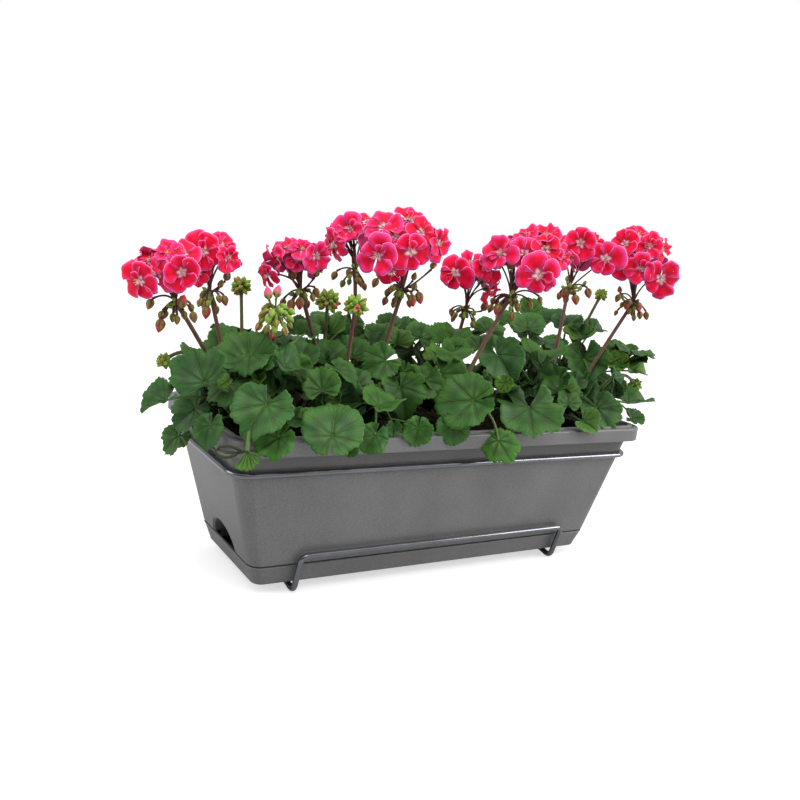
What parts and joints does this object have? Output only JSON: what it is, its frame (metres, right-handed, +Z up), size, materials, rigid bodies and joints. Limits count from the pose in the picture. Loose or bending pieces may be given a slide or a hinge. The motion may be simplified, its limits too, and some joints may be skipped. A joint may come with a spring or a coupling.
{
  "type": "planted window box",
  "caption": "Tapered self-watering window box in a wire railing rack, filled with soil and planted with flowering zonal geraniums.",
  "frame": {"origin": "bottom centre of the object's box: under the middle of its length and depth, level with the low bends of the rack wire that it stands on", "axes": "+X along the box to the right, +Z up; the plain front face looks to -Y and the railing hooks reach to +Y"},
  "size_m": [0.6572, 0.3108, 0.3883],
  "materials": {
    "trough_plastic": "satin moulded plastic, warm anthracite grey with a fine grain",
    "rack_wire": "glossy metallic anthracite powder coat on round steel wire",
    "soil": "dark moist potting compost with fine crumbs",
    "leaf": "soft downy leaf, mid green with a darker zone and pale veins",
    "stem": "downy green stem, flushed brown red on the flower stalks",
    "petal": "velvety petal, crimson red with pink edges and a whitish throat",
    "bud": "green sepals with red petal tips"
  },
  "bodies": {
    "root": {"trough_body": "trough_plastic", "water_tray": "trough_plastic", "potting_soil": "soil", "rack_ring": "rack_wire", "rack_cradle": "rack_wire", "rack_hook_left": "rack_wire", "rack_hook_right": "rack_wire", "flower_head_1": "petal", "flower_head_2": "petal", "flower_head_3": "petal", "flower_head_4": "petal", "flower_head_5": "petal", "flower_head_6": "petal", "flower_head_7": "petal", "flower_head_8": "petal", "flower_head_9": "petal", "bud_cluster_1": "bud", "bud_cluster_2": "bud", "bud_cluster_3": "bud", "bud_cluster_4": "bud", "bud_cluster_5": "bud", "bud_cluster_6": "bud", "bud_cluster_7": "bud", "flower_head_1_stalk": "stem", "flower_head_2_stalk": "stem", "flower_head_3_stalk": "stem", "flower_head_4_stalk": "stem", "flower_head_5_stalk": "stem", "flower_head_6_stalk": "stem", "flower_head_7_stalk": "stem", "flower_head_8_stalk": "stem", "flower_head_9_stalk": "stem", "bud_cluster_1_stalk": "stem", "bud_cluster_2_stalk": "stem", "bud_cluster_3_stalk": "stem", "bud_cluster_4_stalk": "stem", "bud_cluster_5_stalk": "stem", "bud_cluster_6_stalk": "stem", "bud_cluster_7_stalk": "stem", "plant_1_shoot_front": "leaf", "plant_1_shoot_left": "leaf", "plant_1_shoot_rear": "leaf", "plant_1_shoot_middle": "leaf", "plant_2_shoot_left": "leaf", "plant_2_shoot_front": "leaf", "plant_2_shoot_rear": "leaf", "plant_2_shoot_right": "leaf", "plant_3_shoot_left": "leaf", "plant_3_shoot_front": "leaf", "plant_3_shoot_rear": "leaf", "plant_4_shoot_left": "leaf", "plant_4_shoot_front": "leaf", "plant_4_shoot_right": "leaf", "plant_4_shoot_rear": "leaf"}
  },
  "joints": []
}
